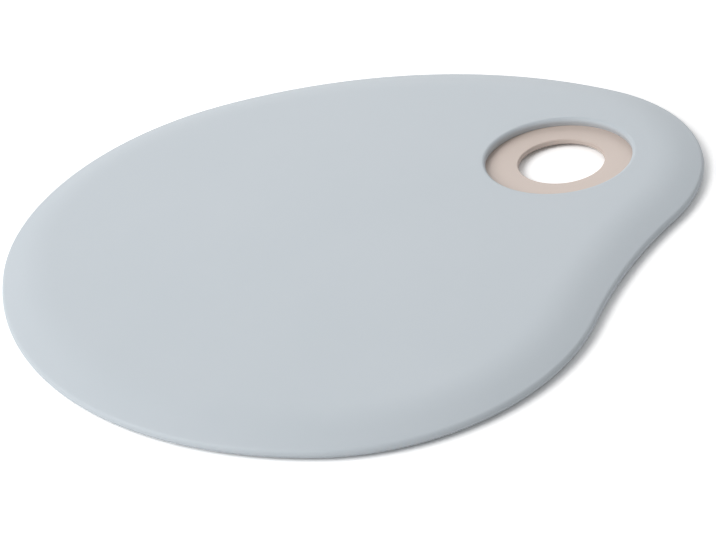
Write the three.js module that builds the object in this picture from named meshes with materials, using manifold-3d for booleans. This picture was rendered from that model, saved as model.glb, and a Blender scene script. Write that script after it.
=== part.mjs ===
// Bowl scraper: a rigid nylon plate moulded into a one-piece silicone blade.  The silicone thins to a
// flexible lip all round, and a round recess in each face bares the plate about its hanging hole.
// Millimetres, +Z up.  The blade lies flat with its long axis along X and the hole at the +X end.
// The origin is on the resting face, under the middle of the blade's bounding box.

import * as THREE from "three";
import { mergeVertices } from "three/addons/utils/BufferGeometryUtils.js";
import Module from "manifold-3d";

// Plan of the blade.  Recess, nose and heel lie on the long axis, and the shoulder bulges to one side of it.
const LENGTH = 144.1; // heel end to nose end
const RECESS_TO_NOSE = 28.6; // axis of the recess to the nose end
const NOSE_RADIUS = 37.8; // round end about the recess
const HEEL_RADIUS = 56.5; // large round end
const SHOULDER_RADIUS = 45.6; // round of the bulge
const SHOULDER_REACH = 78; // long axis out to the widest point of the bulge
const SHOULDER_SETBACK = 45.3; // axis of the recess back to the widest point of the bulge
const FLANK_EASE = 24.5; // how much flatter the nose to heel flank is than the tightest round over both
const BELLY_EASE = 10.9; // the same for the stretch from heel to shoulder
const WAIST_RADIUS = 112.1; // hollow flank between shoulder and nose

// Thickness of the blade
const SKIN_ABOVE = 1.9; // silicone over the plate
const CORE_THICKNESS = 1.2;
const SKIN_BELOW = 0.8; // silicone under the plate
const LIP_THICKNESS = 1.8; // at the outer edge, which is a full round
const LIP_HEIGHT = 1.4; // resting face to the middle of the lip
const TAPER_ANGLE = THREE.MathUtils.degToRad(15); // slope of the upper face next to the lip
const TAPER_RUN = 3; // width of the straight slope, between the bend out of the flat face and the lip
const RELIEF_ANGLE = THREE.MathUtils.degToRad(6.5); // slope of the underside next to the lip

// Hanging hole and the recess that bares the plate
const HOLE_DIAMETER = 17.6;
const HOLE_FORWARD = 0.6; // axis of the hole from that of the recess, towards the nose
const HOLE_ASIDE = 0.4; // the same, away from the shoulder
const RECESS_DIAMETER = 29.8;
const RECESS_ROUND = 0.8; // rounding of the recess rim

// Plate inside the silicone
const CORE_INSET = 9; // edge of the blade to edge of the plate
const LOCK_COUNT = 8; // perforations that the silicone runs through, on a ring about the heel's centre
const LOCK_DIAMETER = 7;
const LOCK_SETBACK = 16; // edge of the plate to the centres of the perforations
const FIT_GAP = 0.3; // sideways clearance of the plate in the silicone

// Fineness of the facets
const CHORD = 3.6; // longest straight step along the outline
const BEND_STEPS = 4; // steps round the bend out of a flat face
const LIP_STEPS = 4; // steps round the lip
const ROUND_STEPS = 3; // steps in the rounding of the recess rim
const BORE_SIDES = 56; // sides of the hole and of the recess
const LOCK_SIDES = 16;

// Values that follow from the sizes above
const THICKNESS = SKIN_BELOW + CORE_THICKNESS + SKIN_ABOVE;
const HOLE_RADIUS = HOLE_DIAMETER / 2;
const RECESS_RADIUS = RECESS_DIAMETER / 2;
const LOCK_RADIUS = LOCK_DIAMETER / 2;
const LOCK_RING_RADIUS = HEEL_RADIUS - CORE_INSET - LOCK_SETBACK;
const UNDER_ROUND = Math.min(RECESS_ROUND, SKIN_BELOW / 2); // the recess is shallow on the underside
const OVERCUT = THICKNESS; // how far a cutter runs past the faces

const RECESS_AXIS = new THREE.Vector2(0, 0);
const HOLE_AXIS = new THREE.Vector2(HOLE_FORWARD, HOLE_ASIDE);
const NOSE = { centre: new THREE.Vector2(RECESS_TO_NOSE - NOSE_RADIUS, 0), radius: NOSE_RADIUS };
const HEEL = { centre: new THREE.Vector2(RECESS_TO_NOSE - LENGTH + HEEL_RADIUS, 0), radius: HEEL_RADIUS };
const SHOULDER = {
  centre: new THREE.Vector2(-SHOULDER_SETBACK, SHOULDER_RADIUS - SHOULDER_REACH),
  radius: SHOULDER_RADIUS,
};

// Centre of a circle at distance fromA and fromB from two points, on the right of the walk from a to b.
function rightCentre(a, fromA, b, fromB) {
  const span = a.distanceTo(b);
  const along = (fromA ** 2 - fromB ** 2 + span ** 2) / (2 * span);
  const aside = Math.sqrt(fromA ** 2 - along ** 2);
  const step = b.clone().sub(a).divideScalar(span);
  return new THREE.Vector2(a.x + along * step.x + aside * step.y, a.y + along * step.y - aside * step.x);
}

// Circle that wraps two others from outside, flatter by ease than the tightest one that can.
function wrapping(from, to, ease) {
  const radius = (from.centre.distanceTo(to.centre) + from.radius + to.radius) / 2 + ease;
  const centre = rightCentre(from.centre, radius - from.radius, to.centre, radius - to.radius);
  return { centre, radius };
}

// Circle that lies outside two others and touches both.
function hollow(from, to, radius) {
  return { centre: rightCentre(from.centre, radius + from.radius, to.centre, radius + to.radius), radius };
}

const FLANK = wrapping(HEEL, NOSE, FLANK_EASE);
const BELLY = wrapping(SHOULDER, HEEL, BELLY_EASE);
const WAIST = hollow(SHOULDER, NOSE, WAIST_RADIUS);

// Bearing of one circle's centre from another's.
function bearing(from, to) {
  return to.centre.clone().sub(from.centre).angle();
}

// The six tangent arcs of the outline, anticlockwise from above.  Only the waist curves the other way.
const ARCS = [
  { circle: NOSE, start: bearing(NOSE, WAIST), end: bearing(FLANK, NOSE), clockwise: false },
  { circle: FLANK, start: bearing(FLANK, NOSE), end: bearing(FLANK, HEEL), clockwise: false },
  { circle: HEEL, start: bearing(FLANK, HEEL), end: bearing(BELLY, HEEL), clockwise: false },
  { circle: BELLY, start: bearing(BELLY, HEEL), end: bearing(BELLY, SHOULDER), clockwise: false },
  { circle: SHOULDER, start: bearing(BELLY, SHOULDER), end: bearing(SHOULDER, WAIST), clockwise: false },
  { circle: WAIST, start: bearing(WAIST, SHOULDER), end: bearing(WAIST, NOSE), clockwise: true },
];

// Points of the outline moved inwards by inset.  Every inset has the same number of points.
function ring(inset) {
  return ARCS.flatMap(({ circle, start, end, clockwise }) => {
    const { x, y } = circle.centre;
    const edge = new THREE.EllipseCurve(x, y, circle.radius, circle.radius, start, end, clockwise);
    const radius = circle.radius + (clockwise ? inset : -inset);
    const arc = new THREE.EllipseCurve(x, y, radius, radius, start, end, clockwise);
    return arc.getPoints(Math.ceil(edge.getLength() / CHORD)).slice(0, -1);
  });
}

// One side of the blade's section as pairs of inset and height over the middle of the lip, from the flat face
// out to the lip.  A wide bend leaves the flat face, a straight slope follows, and the lip is round.
function sideSection(fall, slope, run) {
  const lip = LIP_THICKNESS / 2;
  const bend = (fall - lip * Math.cos(slope) - run * Math.tan(slope)) / (1 - Math.cos(slope));
  const margin = lip * (1 - Math.sin(slope)) + run + bend * Math.sin(slope);
  const pairs = [];
  for (let i = 0; i <= BEND_STEPS; i += 1) {
    const angle = (slope * i) / BEND_STEPS;
    pairs.push([margin - bend * Math.sin(angle), fall - bend * (1 - Math.cos(angle))]);
  }
  for (let i = run > 0 ? 0 : 1; i <= LIP_STEPS; i += 1) {
    const angle = slope + ((Math.PI / 2 - slope) * i) / LIP_STEPS;
    pairs.push([lip * (1 - Math.sin(angle)), lip * Math.cos(angle)]);
  }
  return pairs;
}

// Closed skin over rings of equal point count, from the lowest up, with a flat face on the first and last.
function loft(rings) {
  const count = rings[0].points.length;
  const position = rings.flatMap(({ points, z }) => points.flatMap((p) => [p.x, p.y, z]));
  const index = [];
  for (let k = 0; k + 1 < rings.length; k += 1) {
    for (let i = 0; i < count; i += 1) {
      const a = k * count + i;
      const b = k * count + ((i + 1) % count);
      index.push(a, b, b + count, a, b + count, a + count);
    }
  }
  const top = (rings.length - 1) * count;
  for (const [a, b, c] of THREE.ShapeUtils.triangulateShape(rings[0].points, [])) {
    index.push(a, c, b);
    index.push(top + a, top + b, top + c);
  }
  const geometry = new THREE.BufferGeometry();
  geometry.setAttribute("position", new THREE.Float32BufferAttribute(position, 3));
  geometry.setIndex(index);
  return geometry;
}

// The whole thin-edged blade, before the recess and the plate's pocket are taken out.
function bladeBlank() {
  const upper = sideSection(THICKNESS - LIP_HEIGHT, TAPER_ANGLE, TAPER_RUN);
  const under = sideSection(LIP_HEIGHT, RELIEF_ANGLE, 0);
  const lower = under.slice(0, -1).map(([inset, height]) => [inset, -height]);
  const section = lower.concat(upper.reverse());
  return loft(section.map(([inset, height]) => ({ points: ring(inset), z: LIP_HEIGHT + height })));
}

// Side of a round cutter that leaves a face at height 0 upwards, flared to round the rim.
function flaredSide(round) {
  const flared = RECESS_RADIUS + round;
  const side = [new THREE.Vector2(0, -OVERCUT), new THREE.Vector2(flared, -OVERCUT)];
  for (let i = 0; i <= ROUND_STEPS; i += 1) {
    const angle = (Math.PI / 2) * (i / ROUND_STEPS);
    side.push(new THREE.Vector2(flared - round * Math.sin(angle), round * (1 - Math.cos(angle))));
  }
  return side;
}

// Round cutter for the recess, from below one face to above the other.
function recessCutter() {
  const upper = flaredSide(RECESS_ROUND).map((p) => new THREE.Vector2(p.x, THICKNESS - p.y)).reverse();
  return new THREE.LatheGeometry(flaredSide(UNDER_ROUND).concat(upper), BORE_SIDES).rotateX(Math.PI / 2);
}

// Centres of the perforations, half a step off the long axis so that none points at the hole.
function lockCentres() {
  return Array.from({ length: LOCK_COUNT }, (_, i) => {
    const angle = (2 * Math.PI * (i + 0.5)) / LOCK_COUNT;
    const arm = new THREE.Vector2(Math.cos(angle), Math.sin(angle)).multiplyScalar(LOCK_RING_RADIUS);
    return arm.add(HEEL.centre);
  });
}

// Round opening as a closed run of points.
function roundOpening(centre, radius, sides) {
  const circle = new THREE.EllipseCurve(centre.x, centre.y, radius, radius, 0, 2 * Math.PI, false);
  return new THREE.Path(circle.getPoints(sides).slice(0, -1));
}

// Flat plate at the height of the core, with its openings cut through.
function plate(outline, openings) {
  const shape = new THREE.Shape(outline);
  shape.holes.push(...openings);
  const flat = new THREE.ExtrudeGeometry(shape, { depth: CORE_THICKNESS, bevelEnabled: false });
  return flat.translate(0, 0, SKIN_BELOW);
}

// The part of the stiffener plate inside the silicone, up to the recess wall, with its perforations.
function coveredPlate() {
  const locks = lockCentres().map((centre) => roundOpening(centre, LOCK_RADIUS, LOCK_SIDES));
  return plate(ring(CORE_INSET), [roundOpening(RECESS_AXIS, RECESS_RADIUS, BORE_SIDES), ...locks]);
}

// The part of the stiffener plate that shows in the recess, with the hanging hole.
function baredRing() {
  const wall = roundOpening(RECESS_AXIS, RECESS_RADIUS, BORE_SIDES);
  return plate(wall.getPoints(), [roundOpening(HOLE_AXIS, HOLE_RADIUS, BORE_SIDES)]);
}

// The pocket that the plate fills, crossed by a silicone post in each perforation.
function corePocket() {
  const posts = lockCentres().map((centre) => roundOpening(centre, LOCK_RADIUS - FIT_GAP, LOCK_SIDES));
  return plate(ring(CORE_INSET - FIT_GAP), posts);
}

const wasm = await Module();
wasm.setup();

// Only positions count for a solid, so corners that share a place become one vertex.
function welded(geometry) {
  const bare = geometry.clone();
  bare.deleteAttribute("normal");
  bare.deleteAttribute("uv");
  return mergeVertices(bare);
}

function toSolid(geometry) {
  const mesh = welded(geometry);
  const vertProperties = new Float32Array(mesh.attributes.position.array);
  const triVerts = new Uint32Array(mesh.index.array);
  return new wasm.Manifold(new wasm.Mesh({ numProp: 3, vertProperties, triVerts }));
}

function toGeometry(solid) {
  const mesh = solid.getMesh();
  const geometry = new THREE.BufferGeometry();
  geometry.setAttribute("position", new THREE.BufferAttribute(mesh.vertProperties, 3));
  geometry.setIndex(new THREE.BufferAttribute(mesh.triVerts, 1));
  geometry.computeVertexNormals();
  return geometry;
}

function siliconeBlade() {
  const open = toSolid(bladeBlank()).subtract(toSolid(recessCutter()));
  return toGeometry(open.subtract(toSolid(corePocket())));
}

// One plate whose two faces are split at the recess wall.
function stiffenerCore() {
  return toGeometry(toSolid(coveredPlate()).add(toSolid(baredRing())));
}

function piece(name, geometry, finish) {
  const mesh = new THREE.Mesh(geometry, new THREE.MeshStandardMaterial(finish));
  mesh.name = name;
  return mesh;
}

const scraper = new THREE.Group();
scraper.add(
  piece("silicone_blade", siliconeBlade(), { color: 0xc4cbd1, roughness: 0.6, metalness: 0 }),
  piece("stiffener_core", stiffenerCore(), { color: 0xcfc0b7, roughness: 0.5, metalness: 0 }),
);

// Sizes above are from the axis of the recess; the finished part is centred on its bounding box.
const middle = new THREE.Box2().setFromPoints(ring(0)).getCenter(new THREE.Vector2());
scraper.position.set(-middle.x, -middle.y, 0);

export default scraper;
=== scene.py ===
"""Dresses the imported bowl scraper: silicone blade, nylon stiffener plate and a plain studio stage."""

import math
from typing import NamedTuple

import bpy
import numpy as np
from bpy.props import FloatProperty, FloatVectorProperty, IntProperty, PointerProperty
from mathutils import Matrix, Vector


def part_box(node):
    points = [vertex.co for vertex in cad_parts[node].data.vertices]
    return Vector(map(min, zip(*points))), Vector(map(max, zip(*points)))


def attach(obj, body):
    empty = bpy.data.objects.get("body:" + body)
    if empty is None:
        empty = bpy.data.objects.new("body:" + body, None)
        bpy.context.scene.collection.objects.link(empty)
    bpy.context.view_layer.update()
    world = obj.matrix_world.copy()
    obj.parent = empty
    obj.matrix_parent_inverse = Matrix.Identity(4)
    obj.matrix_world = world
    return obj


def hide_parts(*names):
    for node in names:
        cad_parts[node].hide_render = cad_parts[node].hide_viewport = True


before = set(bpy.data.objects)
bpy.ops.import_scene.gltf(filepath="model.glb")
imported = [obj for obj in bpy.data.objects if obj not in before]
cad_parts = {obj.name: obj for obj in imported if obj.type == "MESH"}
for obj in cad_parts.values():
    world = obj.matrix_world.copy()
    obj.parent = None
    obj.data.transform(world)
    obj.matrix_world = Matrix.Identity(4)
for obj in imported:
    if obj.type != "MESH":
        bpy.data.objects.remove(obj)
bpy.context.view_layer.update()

bl_info = {
    "name": "Bowl scraper",
    "version": (1, 0, 0),
    "blender": (4, 5, 0),
    "location": "View3D > Sidebar > Scraper",
    "description": "Builds a silicone bowl scraper moulded over a nylon plate, with a studio stage",
    "category": "Add Mesh",
}

MM = 0.001
BODY = "root"
BLADE_NODE = "silicone_blade"
CORE_NODE = "stiffener_core"
BLADE_LOW, BLADE_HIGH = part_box(BLADE_NODE)
CORE_LOW, CORE_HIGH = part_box(CORE_NODE)
PHOTO_WIDTH = 716  # pixels
SENSOR_WIDTH = 36.0  # millimetres
CLIP_START = 0.01  # metres in front of the camera
WALL_ROWS = 7  # rings up the recess wall
RIM_ROWS = 9  # rings round the recess rim
FACE_ROWS = 22  # rings across the flat face
BEND_ROWS = 15  # rings round the bend into the slope
LIP_ROWS = 17  # rings round half the lip
CORE_ROWS = 6  # rings round an edge of the plate
HOLLOW_POWER = 1.5  # keeps the hollow of the recess wall near its foot
LIP_CROWDING = 1.6  # crowds the lip's rings towards the parting line
SHARP_ANGLE = math.radians(50)  # a sharper edge isn't shaded smooth
SILICONE_CLOUD = 28  # millimetres across a cloud in the pigment
SILICONE_GRAIN = 0.35  # millimetres, coarser than the real grain so that it shows
SILICONE_ROUGHNESS = (0.5, 0.6)  # from the hollows of the grain to its tops
SILICONE_IOR = 1.41
SILICONE_RELIEF = 0.12  # strength of the grain
SILICONE_GLOW = 0.25  # share of the light that spreads under the skin
SILICONE_DEPTH = 0.8 * MM  # how far that light spreads
NYLON_CLOUD = 9  # millimetres across a cloud
NYLON_TURNING = 4.4  # millimetres between turning rings, coarser than real ones so that they show
NYLON_WAVER = 1.5  # how unevenly the turning rings run
NYLON_ROUGHNESS = (0.45, 0.58)  # over the clouds
NYLON_IOR = 1.53
NYLON_RELIEF = 0.08  # strength of the turning rings
RELIEF_DEPTH = 0.05 * MM  # full depth of the grain and of the rings
WAVE_RATE = 20 / math.tau  # rings in one unit of the wave texture at scale 1
WHITE = (1, 1, 1, 1)


def linear(code):
    """An sRGB hex colour such as c4cbd1 as linear red, green and blue."""
    srgb = np.array([int(code[i:i + 2], 16) for i in (0, 2, 4)]) / 255
    return tuple(np.where(srgb <= 0.04045, srgb / 12.92, ((srgb + 0.055) / 1.055) ** 2.4))


def length(name, description, default):
    """A length that a user may change, in metres."""
    return FloatProperty(
        name=name, description=description, default=default, min=0, unit="LENGTH", precision=5)


def slope(name, description, degrees):
    """A slope that a user may change, in radians."""
    return FloatProperty(name=name, description=description, default=math.radians(degrees), min=0.01, max=1,
                         subtype="ANGLE")


def colour(name, description, code):
    """A colour that a user may change, from its sRGB hex value."""
    return FloatVectorProperty(
        name=name, description=description, default=linear(code), subtype="COLOR", min=0, max=1)


class ScraperPlan(bpy.types.PropertyGroup):
    """Outline of the blade, from the axis of the recess."""

    overall: length("Length", "Heel end to nose end", BLADE_HIGH.x - BLADE_LOW.x)
    recess_to_nose: length("Recess to nose", "Axis of the recess to the nose end", 28.6 * MM)
    nose_radius: length("Nose radius", "Round end about the recess", 37.8 * MM)
    heel_radius: length("Heel radius", "Large round end", 56.5 * MM)
    shoulder_radius: length("Shoulder radius", "Round of the bulge beside the long axis", 45.6 * MM)
    shoulder_reach: length("Shoulder reach", "Long axis out to the widest point of the bulge", 78.0 * MM)
    shoulder_setback: length("Shoulder setback", "Axis of the recess back to the bulge", 45.3 * MM)
    flank_ease: length("Flank ease", "How much flatter the flank is than the tightest round", 24.5 * MM)
    belly_ease: length("Belly ease", "How much flatter the belly is than the tightest round", 10.9 * MM)
    waist_radius: length("Waist radius", "Hollow flank between shoulder and nose", 112.1 * MM)
    inside: length("Inside", "How far the smooth edge stays inside the frame's faceted one", 0.03 * MM)
    steps: IntProperty(name="Steps", description="Points along the outline", default=480, min=48)


class ScraperSection(bpy.types.PropertyGroup):
    """Thickness of the blade, its recess and its plate."""

    thickness: length("Thickness", "Flat middle of the blade", BLADE_HIGH.z - BLADE_LOW.z)
    core_height: length("Plate height", "Underside of the blade to the plate", CORE_LOW.z - BLADE_LOW.z)
    core_thickness: length("Plate thickness", "Nylon plate", CORE_HIGH.z - CORE_LOW.z)
    core_inset: length("Plate inset", "Edge of the blade to edge of the plate", CORE_LOW.x - BLADE_LOW.x)
    core_round: length("Plate edge round", "Rounding of the plate's hole and edge", 0.3 * MM)
    lip_thickness: length("Lip", "Thickness of the rounded outer edge", 1.8 * MM)
    lip_height: length("Lip height", "Underside of the blade to the middle of the lip", 1.4 * MM)
    taper_angle: slope("Taper angle", "Slope of the upper face next to the lip", 15)
    taper_run: length("Taper run", "Width of the straight slope of the upper face", 3.0 * MM)
    relief_angle: slope("Relief angle", "Slope of the underside next to the lip", 6.5)
    parting_bead: length("Parting bead", "Height of the mould's parting line on the lip", 0.03 * MM)
    parting_width: length("Parting width", "Half width of the parting line", 0.1 * MM)
    recess_radius: length("Recess radius", "Round recess that bares the plate", 14.9 * MM)
    recess_round: length("Recess round", "Rounding of the recess rim", 0.8 * MM)
    recess_hollow: length("Recess hollow", "How far the recess wall is drawn back at its foot", 0.35 * MM)
    hole_radius: length("Hole radius", "Hanging hole in the plate", 8.8 * MM)
    hole_forward: length("Hole forward", "Recess axis to hole axis, towards the nose", 0.6 * MM)
    hole_aside: length("Hole aside", "Recess axis to hole axis, away from the shoulder", 0.4 * MM)
    fit_gap: length("Fit gap", "Sideways clearance of the plate in the silicone", 0.3 * MM)


class ScraperFinish(bpy.types.PropertyGroup):
    """Colours of the pieces."""

    silicone: colour("Silicone", "Pigmented silicone rubber", "c3cad0")
    silicone_shade: colour("Silicone shade", "Faint clouding in the pigment", "bfc7cd")
    nylon: colour("Nylon", "Natural nylon", "cfc0b7")
    nylon_shade: colour("Nylon shade", "Faint clouding in the nylon", "c8b8ae")


class ScraperStage(bpy.types.PropertyGroup):
    """Floor, light and camera."""

    floor_size: length("Floor", "Side of the square floor", 0.6)
    floor_drop: length("Floor drop", "How far the floor lies under the resting face", 0.02 * MM)
    floor_white: FloatProperty(name="Floor white", description="Diffuse colour of the floor", default=0.8)
    floor_seen: FloatProperty(name="Floor seen", description="The same as a viewer sees it", default=1.36)
    floor_near: length("Floor near", "How far from the middle the floor starts to be seen brighter", 0.11)
    floor_gain: FloatProperty(name="Floor gain", description="Added to Floor seen at the edge", default=6)
    sky: FloatProperty(name="Sky", description="Strength of the even light from all round", default=0.4)
    key_power: FloatProperty(name="Key power", description="Soft lamp on the left, a little in front",
                             default=3.55, unit="POWER")
    key_size: length("Key size", "Side of the lamp on the left", 0.5)
    key_place: FloatVectorProperty(
        name="Key place", description="Where the lamp on the left stands", default=(-0.492, -0.141, 0.477),
        subtype="XYZ")
    back_power: FloatProperty(name="Back power", description="Large soft lamp far behind", default=8.2,
                              unit="POWER")
    back_size: length("Back size", "Side of the lamp behind", 1.2)
    back_place: FloatVectorProperty(
        name="Back place", description="Where the lamp behind stands", default=(0.276, 1.565, 0.845),
        subtype="XYZ")
    aim: FloatVectorProperty(
        name="Aim", description="Point on the upper face in the middle of the picture", subtype="XYZ",
        default=(-1.19 * MM, -17.82 * MM, BLADE_HIGH.z), precision=5)
    distance: length("Camera distance", "Camera to the aim", 281.3 * MM)
    azimuth: FloatProperty(name="Azimuth", description="0 looks along +Y", default=math.radians(-0.5),
                           subtype="ANGLE")
    elevation: FloatProperty(name="Elevation", description="Camera above the floor",
                             default=math.radians(32.95), subtype="ANGLE")
    roll: FloatProperty(name="Roll", description="Turn of the camera about its own axis",
                        default=math.radians(-10.76), subtype="ANGLE")
    focal_pixels: FloatProperty(name="Focal length", description="In pixels of the picture", default=1500)


class Outline(NamedTuple):
    """Six tangent arcs, anticlockwise from above. side is 1 on a convex arc and -1 on the hollow one."""

    centre: np.ndarray
    radius: np.ndarray
    start: np.ndarray
    sweep: np.ndarray
    side: np.ndarray


def right_centre(a, from_a, b, from_b):
    """The point at two given distances from a and b, on the right of the walk from a to b."""
    span = np.linalg.norm(b - a)
    along = (from_a ** 2 - from_b ** 2 + span ** 2) / (2 * span)
    aside = np.sqrt(from_a ** 2 - along ** 2)
    step = (b - a) / span
    return a + along * step + aside * np.array([step[1], -step[0]])


def wrapping(circle, other, ease):
    """The circle that touches two others from outside, flatter by ease than the tightest that can."""
    (a, radius_a), (b, radius_b) = circle, other
    radius = (np.linalg.norm(b - a) + radius_a + radius_b) / 2 + ease
    return right_centre(a, radius - radius_a, b, radius - radius_b), radius


def bearing(origin, target):
    """Angle of the walk from one circle's centre to another's."""
    step = target[0] - origin[0]
    return math.atan2(step[1], step[0])


def outline_of(plan):
    """Nose, flank, heel, belly, shoulder and waist arcs, each met by the next on the line of centres."""
    nose = np.array([plan.recess_to_nose - plan.nose_radius, 0]), plan.nose_radius
    heel = np.array([plan.recess_to_nose - plan.overall + plan.heel_radius, 0]), plan.heel_radius
    bulge = np.array([-plan.shoulder_setback, plan.shoulder_radius - plan.shoulder_reach])
    shoulder = bulge, plan.shoulder_radius
    flank = wrapping(heel, nose, plan.flank_ease)
    belly = wrapping(shoulder, heel, plan.belly_ease)
    outer = plan.waist_radius
    waist = right_centre(bulge, outer + shoulder[1], nose[0], outer + nose[1]), outer
    arcs = (
        (nose, bearing(nose, waist), bearing(flank, nose), 1),
        (flank, bearing(flank, nose), bearing(flank, heel), 1),
        (heel, bearing(flank, heel), bearing(belly, heel), 1),
        (belly, bearing(belly, heel), bearing(belly, shoulder), 1),
        (shoulder, bearing(belly, shoulder), bearing(shoulder, waist), 1),
        (waist, bearing(waist, shoulder), bearing(waist, nose), -1),
    )
    return Outline(
        centre=np.array([circle[0] for circle, *_ in arcs]),
        radius=np.array([circle[1] - side * plan.inside for circle, _, _, side in arcs]),
        start=np.array([first for _, first, _, _ in arcs]),
        sweep=np.array([side * ((side * (last - first)) % (2 * math.pi)) for _, first, last, side in arcs]),
        side=np.array([side for *_, side in arcs], float),
    )


def edge_points(outline, count):
    """Points at even steps along the outline, and the outward direction at each: centre plus radius times
    the direction of the angle reached on the arc that holds the step."""
    lengths = outline.radius * np.abs(outline.sweep)
    ends = np.cumsum(lengths)
    walked = np.arange(count) / count * ends[-1]
    arc = np.searchsorted(ends, walked, side="right")
    share = (walked - (ends - lengths)[arc]) / lengths[arc]
    angle = outline.start[arc] + outline.sweep[arc] * share
    direction = np.stack([np.cos(angle), np.sin(angle)], -1)
    points = outline.centre[arc] + outline.radius[arc, None] * direction
    return points, outline.side[arc, None] * direction


def bend_of(fall, angle, run, lip):
    """Radius of the bend that leaves a flat face and width of the whole sloping border, for a face that
    lies fall over the middle of the lip. The bend falls by its radius times one less the cosine of the
    slope, which is what the straight slope and the round lip leave over."""
    bend = (fall - lip * math.cos(angle) - run * math.tan(angle)) / (1 - math.cos(angle))
    return bend, lip * (1 - math.sin(angle)) + run + bend * math.sin(angle)


def stacked(plan_points, heights):
    """Rings of plan points and heights as one array of places."""
    heights = np.broadcast_to(heights, plan_points.shape[:-1])
    return np.concatenate([plan_points, heights[..., None]], -1)


def eased(count):
    """Shares from 0 to 1, closer together at both ends."""
    share = np.linspace(0, 1, count)
    return share ** 2 * (3 - 2 * share)


def blade_side(plan, section, fall, core, angle, run):
    """Rings of one side of the blade, from the plate up the recess wall, round its rim, over the flat
    face, round the bend, down the slope and round the lip to its middle, with heights from there. The
    recess rings are circles, and the wall is drawn back at its foot by a power of the height that is left
    above it. The border rings are the outline moved inwards, and the flat face blends straight from the
    recess to them. The lip is a round drawn in by the height of the bead, less on a bell curve of the
    height from its middle, where the parting line stands out."""
    edge, outward = edge_points(outline_of(plan), plan.steps)
    spoke = edge / np.linalg.norm(edge, axis=1, keepdims=True)
    lip = section.lip_thickness / 2
    soft = min(section.recess_round, (fall - core) / 2)
    bend, margin = bend_of(fall, angle, run, lip)
    rim = section.recess_radius + soft
    flat_edge = edge - margin * outward
    if np.linalg.norm(flat_edge, axis=1).min() <= rim:
        raise ValueError("The recess runs into the sloping border")

    climb = np.linspace(0, 1, WALL_ROWS)[:, None]
    wall_radius = section.recess_radius + section.recess_hollow * (1 - climb) ** HOLLOW_POWER
    wall = stacked(wall_radius[..., None] * spoke, core + climb * (fall - soft - core))
    turn = np.linspace(0, math.pi / 2, RIM_ROWS)[1:, None]
    rounding = stacked((rim - soft * np.cos(turn))[..., None] * spoke, fall - soft + soft * np.sin(turn))
    across = eased(FACE_ROWS)[1:, None, None]
    face = stacked(rim * spoke + across * (flat_edge - rim * spoke), fall)

    tilt = np.linspace(0, angle, BEND_ROWS)[1:, None]
    bend_inset = margin - bend * np.sin(tilt)
    bent = stacked(edge - bend_inset[..., None] * outward, fall - bend * (1 - np.cos(tilt)))
    turn = angle + (math.pi / 2 - angle) * (1 - np.linspace(1, 0, LIP_ROWS) ** LIP_CROWDING)[:, None]
    rise = lip * np.cos(turn)
    ridge = 1 - np.exp(-(rise / section.parting_width) ** 2)
    reach = lip * np.sin(turn) - section.parting_bead * ridge * np.sin(turn)
    rounded = stacked(edge - (lip - reach)[..., None] * outward, rise)
    return np.concatenate([wall, rounding, face, bent, rounded])


def pocket_ring(plan, section, height):
    """One ring of the pocket that the plate fills, the outline moved inwards."""
    edge, outward = edge_points(outline_of(plan), plan.steps)
    inset = section.core_inset - section.fit_gap
    return stacked((edge - inset * outward)[None], height)


def blade_rings(plan, section):
    """The whole skin as a closed run of rings: the upper side from the plate out to the middle of the lip,
    the underside back in as a mirror image with sizes of its own, and the pocket that the plate fills."""
    low = section.core_height - section.lip_height
    high = low + section.core_thickness
    above = section.thickness - section.lip_height
    upper = blade_side(plan, section, above, high, section.taper_angle, section.taper_run)
    under = blade_side(plan, section, section.lip_height, -low, section.relief_angle, 0)
    lower = under[-2::-1] * np.array([1, 1, -1])
    return np.concatenate([upper, lower, pocket_ring(plan, section, low), pocket_ring(plan, section, high)])


def core_rings(plan, section):
    """The plate as a closed run of rings: up the hole's wall, round its edge, over the face to the plate's
    edge, and the mirror image of that in the plate's middle plane, with heights from the middle of the
    lip. Each edge is a quarter round."""
    edge, outward = edge_points(outline_of(plan), plan.steps)
    spoke = edge / np.linalg.norm(edge, axis=1, keepdims=True)
    half = section.core_thickness / 2
    turn = np.linspace(0, math.pi / 2, CORE_ROWS)[:, None]
    soft = section.core_round
    hole_out = section.hole_radius + soft * (1 - np.cos(turn))
    shift = np.array([section.hole_forward, section.hole_aside])
    hole = stacked(hole_out[..., None] * spoke + shift, half - soft + soft * np.sin(turn))
    bared = (section.recess_radius * spoke)[None]
    rim_inset = section.core_inset + soft * (1 - np.cos(turn[::-1]))
    rim = stacked(edge - rim_inset[..., None] * outward, half - soft + soft * np.sin(turn[::-1]))
    upper = np.concatenate([hole, stacked(bared, half), rim])
    rings = np.concatenate([upper, upper[::-1] * np.array([1, 1, -1])])
    return rings + np.array([0, 0, section.core_height + half - section.lip_height])


def ring_mesh(name, rings):
    """A closed mesh over a grid of rings that runs round both ways, with its faces outwards."""
    rows, columns, _ = rings.shape
    row, column = np.meshgrid(np.arange(rows), np.arange(columns), indexing="ij")
    above, beside = (row + 1) % rows, (column + 1) % columns
    corners = ((row, column), (above, column), (above, beside), (row, beside))
    quads = np.stack([r * columns + c for r, c in corners], -1).reshape(-1, 4)
    mesh = bpy.data.meshes.new(name)
    mesh.vertices.add(rows * columns)
    mesh.vertices.foreach_set("co", rings.astype(np.float32).ravel())
    mesh.loops.add(quads.size)
    mesh.loops.foreach_set("vertex_index", quads.astype(np.int32).ravel())
    mesh.polygons.add(len(quads))
    mesh.polygons.foreach_set("loop_start", np.arange(0, quads.size, 4, dtype=np.int32))
    mesh.update(calc_edges=True)
    mesh.shade_smooth()
    mesh.set_sharp_from_angle(angle=SHARP_ANGLE)
    return mesh


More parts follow.
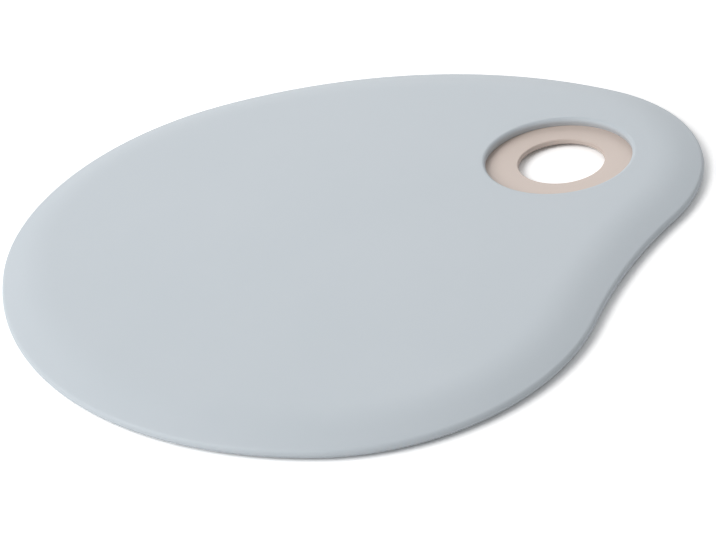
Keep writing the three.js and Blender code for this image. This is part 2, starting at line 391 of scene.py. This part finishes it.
def recess_place(plan):
    """Where the recess's axis stands in the frame, with the outline's box centred on the CAD box."""
    edge, _ = edge_points(outline_of(plan), plan.steps)
    middle = (np.array(BLADE_LOW) + np.array(BLADE_HIGH))[:2] / 2
    return middle - (edge.min(0) + edge.max(0)) / 2


def placed(plan, section, rings):
    """Rings moved from the recess's axis and the middle of the lip to their place in the frame."""
    return rings + np.array([*recess_place(plan), BLADE_LOW.z + section.lip_height])


def add_piece(name, mesh, material, node):
    """Links a finished mesh as the piece that stands for a CAD node."""
    piece = bpy.data.objects.new(name, mesh)
    mesh.materials.append(material)
    bpy.context.scene.collection.objects.link(piece)
    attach(piece, BODY)
    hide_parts(node)
    return piece


def add_node(tree, kind, settings=None, **inputs):
    """Adds a node, with its settings, and sets or links its inputs: by name with spaces as underscores, or
    by number after the letter n."""
    node = tree.nodes.new(kind)
    for key, value in (settings or {}).items():
        setattr(node, key, value)
    for key, value in inputs.items():
        numbered = key[0] == "n" and key[1:].isdigit()
        socket = node.inputs[int(key[1:]) if numbered else key.replace("_", " ")]
        if isinstance(value, bpy.types.NodeSocket):
            tree.links.new(value, socket)
        else:
            socket.default_value = value
    return node


def new_material(name):
    """An empty node material."""
    material = bpy.data.materials.new(name)
    material.use_nodes = True
    material.node_tree.nodes.clear()
    return material, material.node_tree


def per_metre(millimetres):
    """Noise scale whose features are that many millimetres across."""
    return 1 / (millimetres * MM)


def silicone_rubber(finish):
    """Pigmented silicone rubber, compression moulded in a vapour-blasted tool: a soft satin skin with a
    fine grain, faint clouding in the pigment, and light that goes a little under it and softens the rims."""
    material, tree = new_material("satin_silicone_rubber")
    smoothest, roughest = SILICONE_ROUGHNESS
    place = add_node(tree, "ShaderNodeTexCoord").outputs["Object"]
    cloud = add_node(tree, "ShaderNodeTexNoise", Vector=place, Scale=per_metre(SILICONE_CLOUD), Detail=2.0)
    tint = add_node(tree, "ShaderNodeMix", {"data_type": "RGBA"}, Factor=cloud.outputs["Fac"],
                    n6=(*finish.silicone_shade, 1), n7=(*finish.silicone, 1))
    grain = add_node(tree, "ShaderNodeTexNoise", Vector=place, Scale=per_metre(SILICONE_GRAIN), Detail=3.0)
    gloss = add_node(tree, "ShaderNodeMapRange", Value=grain.outputs["Fac"], To_Min=smoothest,
                     To_Max=roughest)
    bump = add_node(tree, "ShaderNodeBump", Strength=SILICONE_RELIEF, Distance=RELIEF_DEPTH,
                    Height=grain.outputs["Fac"])
    skin = add_node(tree, "ShaderNodeBsdfPrincipled", Base_Color=tint.outputs[2],
                    Roughness=gloss.outputs[0], IOR=SILICONE_IOR, Normal=bump.outputs[0],
                    Subsurface_Weight=SILICONE_GLOW, Subsurface_Radius=(1, 1, 1),
                    Subsurface_Scale=SILICONE_DEPTH)
    add_node(tree, "ShaderNodeOutputMaterial", Surface=skin.outputs[0])
    return material


def moulded_nylon(finish, hole):
    """Natural nylon, injection moulded against a turned insert: a matt beige face with faint turning rings
    about the hole."""
    material, tree = new_material("moulded_nylon")
    smoothest, roughest = NYLON_ROUGHNESS
    place = add_node(tree, "ShaderNodeTexCoord").outputs["Object"]
    centred = add_node(tree, "ShaderNodeMapping", Vector=place, Location=(-hole[0], -hole[1], 0))
    cloud = add_node(tree, "ShaderNodeTexNoise", Vector=place, Scale=per_metre(NYLON_CLOUD), Detail=3.0)
    tint = add_node(tree, "ShaderNodeMix", {"data_type": "RGBA"}, Factor=cloud.outputs["Fac"],
                    n6=(*finish.nylon_shade, 1), n7=(*finish.nylon, 1))
    rings = add_node(tree, "ShaderNodeTexWave", {"wave_type": "RINGS", "rings_direction": "Z"},
                     Vector=centred.outputs[0], Scale=per_metre(NYLON_TURNING) / WAVE_RATE,
                     Distortion=NYLON_WAVER, Detail=1.0)
    gloss = add_node(tree, "ShaderNodeMapRange", Value=cloud.outputs["Fac"], To_Min=smoothest,
                     To_Max=roughest)
    bump = add_node(tree, "ShaderNodeBump", Strength=NYLON_RELIEF, Distance=RELIEF_DEPTH,
                    Height=rings.outputs["Fac"])
    face = add_node(tree, "ShaderNodeBsdfPrincipled", Base_Color=tint.outputs[2],
                    Roughness=gloss.outputs[0], IOR=NYLON_IOR, Normal=bump.outputs[0])
    add_node(tree, "ShaderNodeOutputMaterial", Surface=face.outputs[0])
    return material


def seen_directly(tree):
    """1 on rays that a viewer sees straight, mirrored or through glass, 0 on rays that only carry light."""
    path = add_node(tree, "ShaderNodeLightPath")
    mirrored = add_node(tree, "ShaderNodeMath", {"operation": "MAXIMUM"},
                        n0=path.outputs["Is Camera Ray"], n1=path.outputs["Is Glossy Ray"])
    return add_node(tree, "ShaderNodeMath", {"operation": "MAXIMUM"},
                    n0=mirrored.outputs[0], n1=path.outputs["Is Transmission Ray"]).outputs[0]


def white_floor(stage):
    """Matt white sweep. It sends on light as a white floor does, and a viewer sees it overexposed, as the
    photo shows it, so only the shadow close to the object is darker than white. The camera sees it brighter
    still away from the object, where the lamps light it less, so that it runs into the white studio without
    an edge."""
    material, tree = new_material("white_sweep")
    bright = add_node(tree, "ShaderNodeMapRange", Value=seen_directly(tree), To_Min=stage.floor_white,
                      To_Max=stage.floor_seen)
    place = add_node(tree, "ShaderNodeTexCoord").outputs["Object"]
    away = add_node(tree, "ShaderNodeVectorMath", {"operation": "LENGTH"}, n0=place).outputs["Value"]
    gain = add_node(tree, "ShaderNodeMapRange", Value=away, From_Min=stage.floor_near,
                    From_Max=stage.floor_size / 2, To_Min=0, To_Max=stage.floor_gain).outputs[0]
    viewed = add_node(tree, "ShaderNodeLightPath").outputs["Is Camera Ray"]
    shown = add_node(tree, "ShaderNodeMath", {"operation": "MULTIPLY_ADD"}, n0=viewed, n1=gain,
                     n2=bright.outputs[0])
    white = add_node(tree, "ShaderNodeBsdfDiffuse", Color=shown.outputs[0])
    add_node(tree, "ShaderNodeOutputMaterial", Surface=white.outputs[0])
    return material


def add_floor(stage):
    """A square floor just under the resting face."""
    half = stage.floor_size / 2
    corners = np.array([(-1, -1), (1, -1), (1, 1), (-1, 1)]) * half
    mesh = bpy.data.meshes.new("floor")
    mesh.from_pydata([(x, y, BLADE_LOW.z - stage.floor_drop) for x, y in corners], [], [(0, 1, 2, 3)])
    mesh.materials.append(white_floor(stage))
    floor = bpy.data.objects.new("floor", mesh)
    bpy.context.scene.collection.objects.link(floor)


def add_sky(stage):
    """Even white light from all round, which a viewer sees as plain white."""
    world = bpy.data.worlds.new("white_studio")
    world.use_nodes = True
    tree = world.node_tree
    tree.nodes.clear()
    strength = add_node(tree, "ShaderNodeMapRange", Value=seen_directly(tree), To_Min=stage.sky, To_Max=1.0)
    light = add_node(tree, "ShaderNodeBackground", Color=WHITE, Strength=strength.outputs[0])
    add_node(tree, "ShaderNodeOutputWorld", Surface=light.outputs[0])
    bpy.context.scene.world = world


def add_lamp(name, place, size, power):
    """One square lamp that faces the scraper."""
    lamp = bpy.data.lights.new(name, "AREA")
    lamp.size = size
    lamp.energy = power
    holder = bpy.data.objects.new(name, lamp)
    place = Vector(place)
    turn = (-place).to_track_quat("-Z", "Y")
    holder.matrix_world = Matrix.Translation(place) @ turn.to_matrix().to_4x4()
    bpy.context.scene.collection.objects.link(holder)


def add_camera(stage):
    """A camera at a distance from the aim, by azimuth and elevation, then rolled about its own axis."""
    azimuth, elevation, roll = stage.azimuth, stage.elevation, stage.roll
    ahead = Vector((-math.sin(azimuth) * math.cos(elevation), math.cos(azimuth) * math.cos(elevation),
                    -math.sin(elevation)))
    level = ahead.cross(Vector((0, 0, 1))).normalized()
    upright = level.cross(ahead)
    right = math.cos(roll) * level + math.sin(roll) * upright
    up = right.cross(ahead)
    lens = bpy.data.cameras.new("camera")
    lens.sensor_width = SENSOR_WIDTH
    lens.lens = stage.focal_pixels / PHOTO_WIDTH * SENSOR_WIDTH
    lens.clip_start = CLIP_START
    camera = bpy.data.objects.new("camera", lens)
    turn = Matrix((right, up, -ahead)).transposed().to_4x4()
    camera.matrix_world = Matrix.Translation(Vector(stage.aim) - stage.distance * ahead) @ turn
    bpy.context.scene.collection.objects.link(camera)
    bpy.context.scene.camera = camera


class SCRAPER_OT_silicone_blade(bpy.types.Operator):
    """Builds the silicone blade with its thinning margin, its lip and its recess in both faces"""

    bl_idname = "scraper.silicone_blade"
    bl_label = "Silicone blade"

    def execute(self, context):
        plan, section = context.scene.scraper_plan, context.scene.scraper_section
        mesh = ring_mesh("blade_silicone", placed(plan, section, blade_rings(plan, section)))
        material = silicone_rubber(context.scene.scraper_finish)
        add_piece("blade_silicone", mesh, material, BLADE_NODE)
        return {"FINISHED"}


class SCRAPER_OT_stiffener_core(bpy.types.Operator):
    """Builds the nylon plate whose ring shows in the recess"""

    bl_idname = "scraper.stiffener_core"
    bl_label = "Stiffener plate"

    def execute(self, context):
        plan, section = context.scene.scraper_plan, context.scene.scraper_section
        mesh = ring_mesh("core_nylon", placed(plan, section, core_rings(plan, section)))
        hole = recess_place(plan) + np.array([section.hole_forward, section.hole_aside])
        material = moulded_nylon(context.scene.scraper_finish, hole)
        add_piece("core_nylon", mesh, material, CORE_NODE)
        return {"FINISHED"}


class SCRAPER_OT_stage(bpy.types.Operator):
    """Builds the white floor, the soft studio light and the camera"""

    bl_idname = "scraper.stage"
    bl_label = "Studio stage"

    def execute(self, context):
        stage = context.scene.scraper_stage
        add_floor(stage)
        add_sky(stage)
        add_lamp("key_softbox", stage.key_place, stage.key_size, stage.key_power)
        add_lamp("back_softbox", stage.back_place, stage.back_size, stage.back_power)
        add_camera(stage)
        context.scene.view_settings.view_transform = "Standard"
        return {"FINISHED"}


class SCRAPER_PT_panel(bpy.types.Panel):
    """Lists the scraper's operators and sizes"""

    bl_idname = "SCRAPER_PT_panel"
    bl_label = "Bowl scraper"
    bl_space_type = "VIEW_3D"
    bl_region_type = "UI"
    bl_category = "Scraper"

    def draw(self, context):
        for operator in OPERATORS:
            self.layout.operator(operator.bl_idname)
        for name, group in GROUPS.items():
            box = self.layout.box()
            for key in group.__annotations__:
                box.prop(getattr(context.scene, name), key)


OPERATORS = (SCRAPER_OT_stage, SCRAPER_OT_silicone_blade, SCRAPER_OT_stiffener_core)
GROUPS = {
    "scraper_plan": ScraperPlan,
    "scraper_section": ScraperSection,
    "scraper_finish": ScraperFinish,
    "scraper_stage": ScraperStage,
}


def register():
    for group in GROUPS.values():
        bpy.utils.register_class(group)
    for name, group in GROUPS.items():
        setattr(bpy.types.Scene, name, PointerProperty(type=group))
    for operator in OPERATORS:
        bpy.utils.register_class(operator)
    bpy.utils.register_class(SCRAPER_PT_panel)


def unregister():
    bpy.utils.unregister_class(SCRAPER_PT_panel)
    for operator in reversed(OPERATORS):
        bpy.utils.unregister_class(operator)
    for name in GROUPS:
        delattr(bpy.types.Scene, name)
    for group in reversed(GROUPS.values()):
        bpy.utils.unregister_class(group)


def main():
    register()
    bpy.ops.scraper.stage()
    bpy.ops.scraper.silicone_blade()
    bpy.ops.scraper.stiffener_core()


if __name__ == "__main__":
    main()
